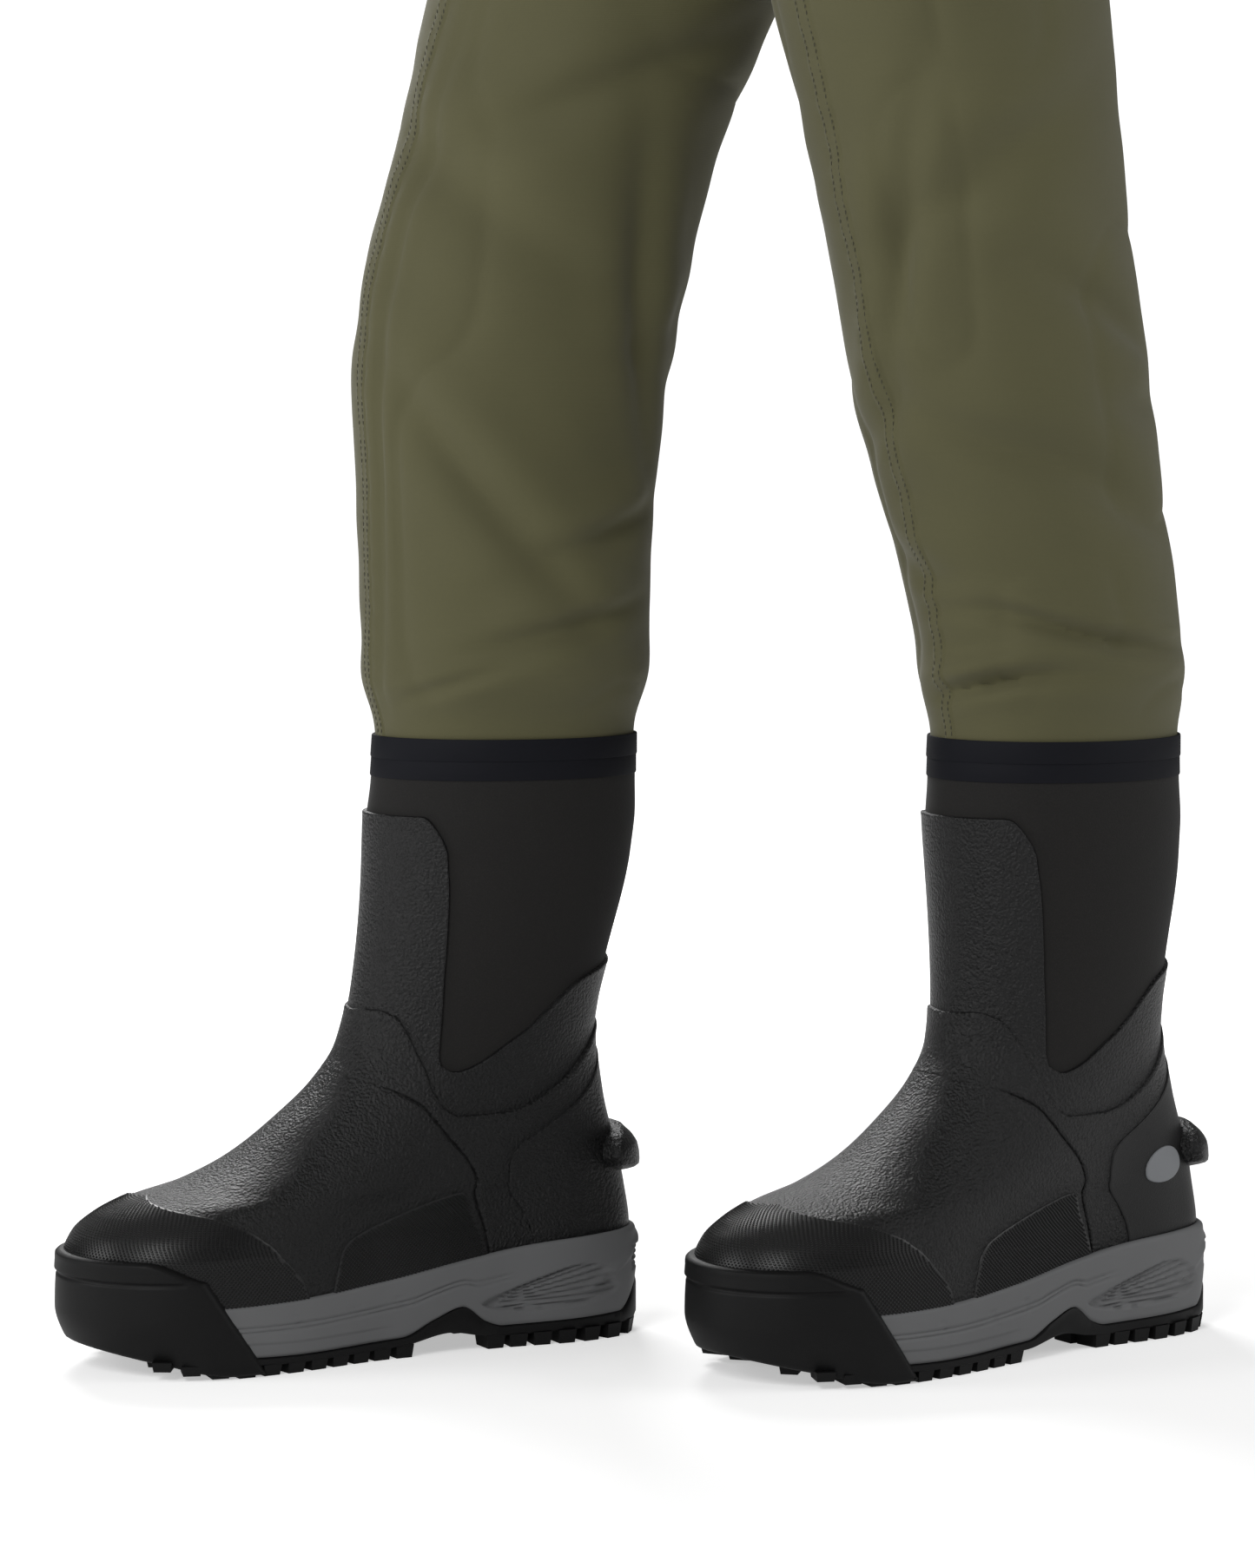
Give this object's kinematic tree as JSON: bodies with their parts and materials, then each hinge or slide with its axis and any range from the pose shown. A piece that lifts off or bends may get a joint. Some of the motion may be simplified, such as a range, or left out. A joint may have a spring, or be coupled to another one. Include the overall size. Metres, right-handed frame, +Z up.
{
  "type": "chest waders",
  "caption": "Bootfoot chest waders standing in a short stride: olive cloth bib and legs, black rubber boots, braces, belt and chest pocket.",
  "frame": {"origin": "on the ground, below the middle of the whole outline", "axes": "+Z up, the wearer faces -Y, the wearer's left hand is on +X"},
  "size_m": [0.3966, 0.5906, 1.5098],
  "materials": {
    "cloth": "matte olive laminated nylon, fine plain weave",
    "hem_binding": "matte olive binding",
    "webbing": "matte black nylon webbing",
    "zip_tape": "coated black zip tape",
    "cuff_tape": "smooth blue-black bonded tape",
    "neoprene": "matte black neoprene with a fine knit face",
    "rubber": "satin black moulded rubber with a pebble grain",
    "rubber_smooth": "smooth satin black rubber",
    "midsole_foam": "matte mid-grey moulded foam",
    "sole_rubber": "matte black outsole rubber",
    "badge": "blank grey oval",
    "board": "stiff fibre board",
    "footbed": "dark foam with a felt face",
    "shank_steel": "plain strip",
    "buckle_plastic": "moulded black acetal"
  },
  "bodies": {
    "upper_garment": {"right_knee_section": "cloth", "right_upper_leg": "cloth", "right_suspender": "webbing", "right_front_tab": "webbing", "right_buckle_socket": "buckle_plastic", "right_belt_loop": "cloth", "left_knee_section": "cloth", "left_upper_leg": "cloth", "left_suspender": "webbing", "left_front_tab": "webbing", "left_buckle_socket": "buckle_plastic", "left_belt_loop": "cloth", "bib_and_seat": "cloth", "bib_top_hem": "hem_binding", "wading_belt": "webbing", "belt_buckle_socket": "buckle_plastic", "back_belt_loop": "cloth", "chest_pocket": "cloth", "pocket_zip_tape": "zip_tape", "back_yoke": "webbing"},
    "right_lower_leg_and_boot": {"right_neoprene_liner": "neoprene", "right_rubber_shell": "rubber", "right_toe_cap": "rubber", "right_medial_side_panel": "rubber", "right_lateral_side_panel": "rubber", "right_heel_counter": "rubber_smooth", "right_midsole": "midsole_foam", "right_outsole": "sole_rubber", "right_toe_bumper": "sole_rubber", "right_kick_spur": "rubber", "right_heel_badge": "badge", "right_lasting_board": "board", "right_footbed": "footbed", "right_shank": "shank_steel", "right_cuff_tape": "cuff_tape", "right_lower_leg": "cloth"},
    "left_lower_leg_and_boot": {"left_neoprene_liner": "neoprene", "left_rubber_shell": "rubber", "left_toe_cap": "rubber", "left_medial_side_panel": "rubber", "left_lateral_side_panel": "rubber", "left_heel_counter": "rubber_smooth", "left_midsole": "midsole_foam", "left_outsole": "sole_rubber", "left_toe_bumper": "sole_rubber", "left_kick_spur": "rubber", "left_heel_badge": "badge", "left_lasting_board": "board", "left_footbed": "footbed", "left_shank": "shank_steel", "left_cuff_tape": "cuff_tape", "left_lower_leg": "cloth"},
    "belt_plug": {"belt_buckle_plug": "buckle_plastic"},
    "right_suspender_plug": {"right_buckle_plug": "buckle_plastic"},
    "left_suspender_plug": {"left_buckle_plug": "buckle_plastic"},
    "zip_slider": {"pocket_zip_slider": "buckle_plastic"},
    "zip_pull": {"pocket_zip_pull": "buckle_plastic"}
  },
  "joints": [
    {"name": "right_knee", "type": "hinge", "parent": "upper_garment", "child": "right_lower_leg_and_boot", "pos_m": [-0.0875, -0.03658, 0.5], "axis": [0.9965, -0.0837, 0], "range_deg": [0, 90], "deforming": ["right_knee_section"]},
    {"name": "left_knee", "type": "hinge", "parent": "upper_garment", "child": "left_lower_leg_and_boot", "pos_m": [0.0805, 0.16442, 0.5], "axis": [0.9954, 0.0958, 0], "range_deg": [0, 90], "deforming": ["left_knee_section"]},
    {"name": "belt_buckle_release", "type": "slide", "parent": "upper_garment", "child": "belt_plug", "axis": [1, 0, 0], "range_m": [0, 0.028]},
    {"name": "right_suspender_release", "type": "slide", "parent": "upper_garment", "child": "right_suspender_plug", "axis": [0, 0, 1], "range_m": [0, 0.028]},
    {"name": "left_suspender_release", "type": "slide", "parent": "upper_garment", "child": "left_suspender_plug", "axis": [0, 0, 1], "range_m": [0, 0.028]},
    {"name": "pocket_zip_travel", "type": "slide", "parent": "upper_garment", "child": "zip_slider", "axis": [0, 0, -1], "range_m": [0, 0.15]},
    {"name": "zip_pull_swing", "type": "hinge", "parent": "zip_slider", "child": "zip_pull", "pos_m": [0, -0.06638, 1.313], "axis": [-1, 0, 0], "range_deg": [0, 120]}
  ]
}
